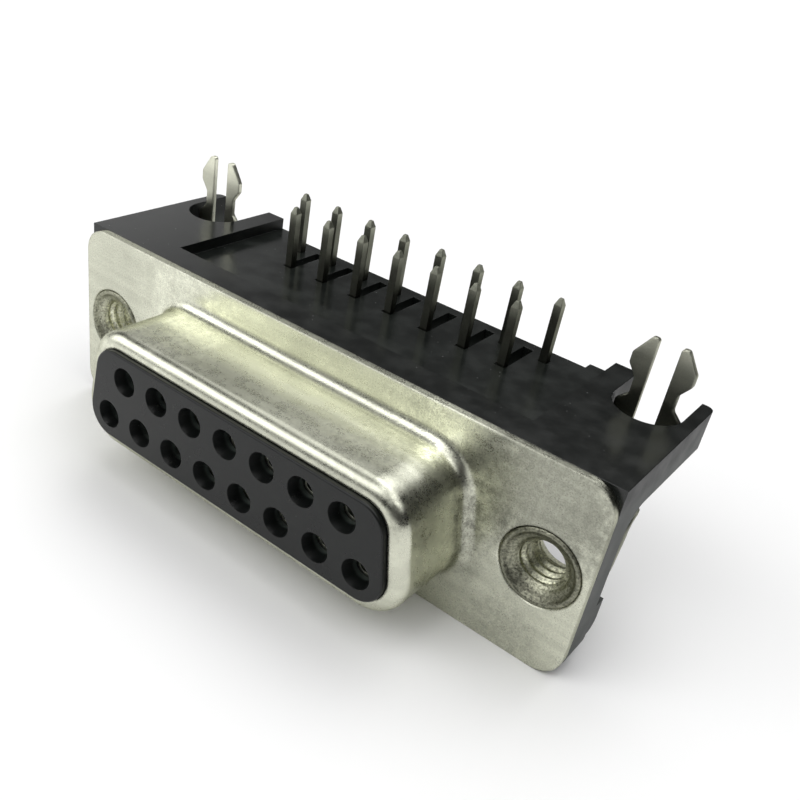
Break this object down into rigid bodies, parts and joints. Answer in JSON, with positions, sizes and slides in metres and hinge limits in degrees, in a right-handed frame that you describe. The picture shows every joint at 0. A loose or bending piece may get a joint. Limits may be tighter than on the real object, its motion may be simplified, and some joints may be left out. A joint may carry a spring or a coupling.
{
  "type": "right-angle d-sub connector",
  "caption": "Right-angle d-sub receptacle: D-shaped metal shroud on a flange, threaded inserts, L-shaped plastic housing, bent solder tails and pronged board locks.",
  "frame": {"origin": "centre of the flange's front face, midway between the two threaded inserts", "axes": "+X along the flange, -Y out of the mating face, +Z out of the board side, the way the solder tails point"},
  "size_m": [0.0388, 0.0185, 0.0161],
  "materials": {
    "shell_metal": "tin plated, satin",
    "insert_metal": "tin plated",
    "lock_metal": "tin plated, bright",
    "contact_metal": "tin plated, bright",
    "insulator_plastic": "moulded, satin",
    "housing_plastic": "moulded, glossy"
  },
  "bodies": {
    "root": {"front_shell": "shell_metal", "front_insulator": "insulator_plastic", "rear_housing": "housing_plastic", "contact_1": "contact_metal", "contact_2": "contact_metal", "contact_3": "contact_metal", "contact_4": "contact_metal", "contact_5": "contact_metal", "contact_6": "contact_metal", "contact_7": "contact_metal", "contact_8": "contact_metal", "contact_9": "contact_metal", "contact_10": "contact_metal", "contact_11": "contact_metal", "contact_12": "contact_metal", "contact_13": "contact_metal", "contact_14": "contact_metal", "contact_15": "contact_metal", "threaded_insert_left": "insert_metal", "board_lock_left": "lock_metal", "threaded_insert_right": "insert_metal", "board_lock_right": "lock_metal"}
  },
  "joints": []
}
